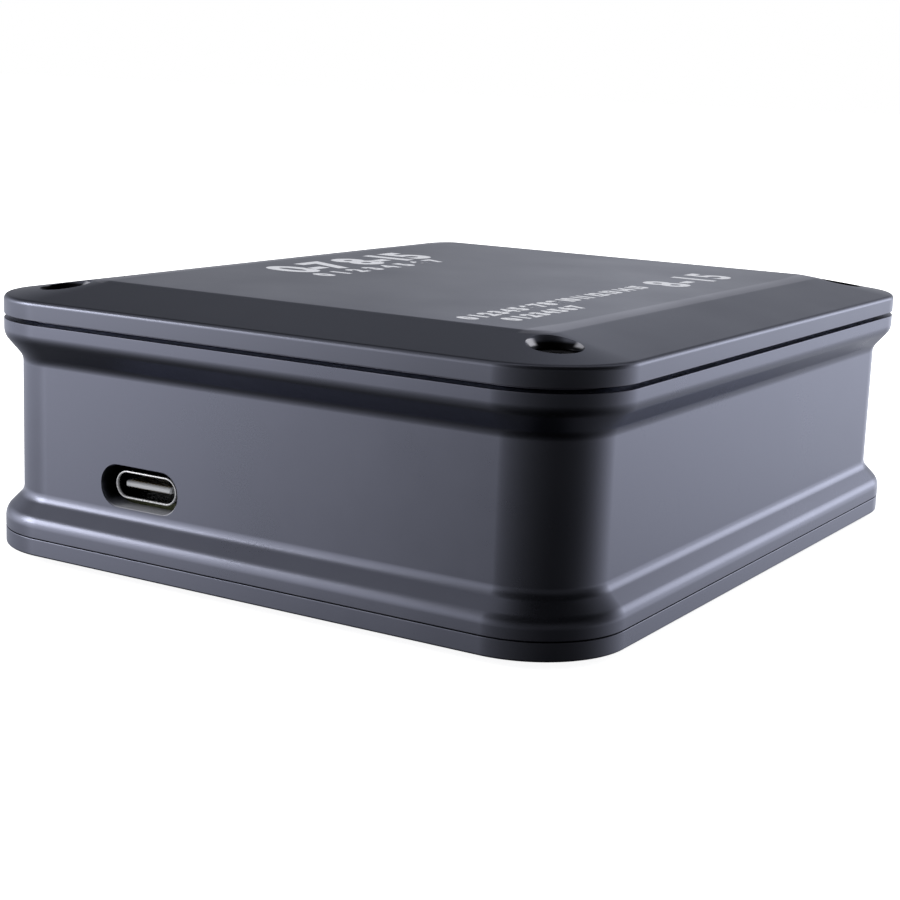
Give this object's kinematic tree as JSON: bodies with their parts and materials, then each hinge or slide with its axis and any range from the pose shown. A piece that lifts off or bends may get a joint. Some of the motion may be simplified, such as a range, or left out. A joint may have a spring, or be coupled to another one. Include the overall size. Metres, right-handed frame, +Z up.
{
  "type": "logic analyzer",
  "caption": "Bench-top logic analyzer: a waisted aluminium case with a bevelled screwed lid, a USB-C port, probe headers and a populated circuit board inside.",
  "frame": {"origin": "on the surface that the feet stand on, under the middle of the case", "axes": "+Z up; -Y is the wall with the USB-C port, +Y the wall with the probe headers, +X the plain wall on the right when the port faces the viewer"},
  "size_m": [0.083, 0.1, 0.0334],
  "materials": {
    "anodised_case": "bead-blasted and anodised dark grey, satin",
    "anodised_cover": "bead-blasted and anodised dark grey, matte",
    "black_steel": "black oxide",
    "plated_steel": "bright nickel plate",
    "foot_rubber": "matte",
    "circuit_board": "green solder mask, semi-gloss",
    "connector_plastic": "moulded, matte",
    "tongue_plastic": "moulded, light grey",
    "gold_contacts": "gold plate",
    "chip_resin": "moulded resin, matte",
    "pad_silicone": "soft silicone",
    "black_aluminium": "black anodised",
    "ferrite": "pressed iron powder",
    "capacitor_body": "ceramic, satin"
  },
  "bodies": {
    "root": {"bottom_cover": "anodised_case", "body_frame": "anodised_case", "top_cover": "anodised_cover", "top_screws": "black_steel", "bottom_screws": "black_steel", "board_screws": "plated_steel", "foot_front_left": "foot_rubber", "foot_front_right": "foot_rubber", "foot_rear_left": "foot_rubber", "foot_rear_right": "foot_rubber", "main_board": "circuit_board", "usb_shell": "plated_steel", "usb_tongue": "tongue_plastic", "usb_contacts": "gold_contacts", "probe_shroud_left": "connector_plastic", "probe_shroud_right": "connector_plastic", "probe_pins_left": "gold_contacts", "probe_pins_right": "gold_contacts", "fpga": "chip_resin", "thermal_pad": "pad_silicone", "heat_sink": "black_aluminium", "sdram": "chip_resin", "usb_controller": "chip_resin", "config_flash": "chip_resin", "oscillator": "plated_steel", "comparator_1": "chip_resin", "comparator_2": "chip_resin", "comparator_3": "chip_resin", "comparator_4": "chip_resin", "inductor_1": "ferrite", "inductor_2": "ferrite", "inductor_3": "ferrite", "regulator_1": "chip_resin", "regulator_2": "chip_resin", "bulk_capacitor_1": "plated_steel", "bulk_capacitor_2": "plated_steel", "ceramic_capacitors": "capacitor_body", "esd_arrays": "chip_resin", "resistor_arrays": "chip_resin"}
  },
  "joints": []
}
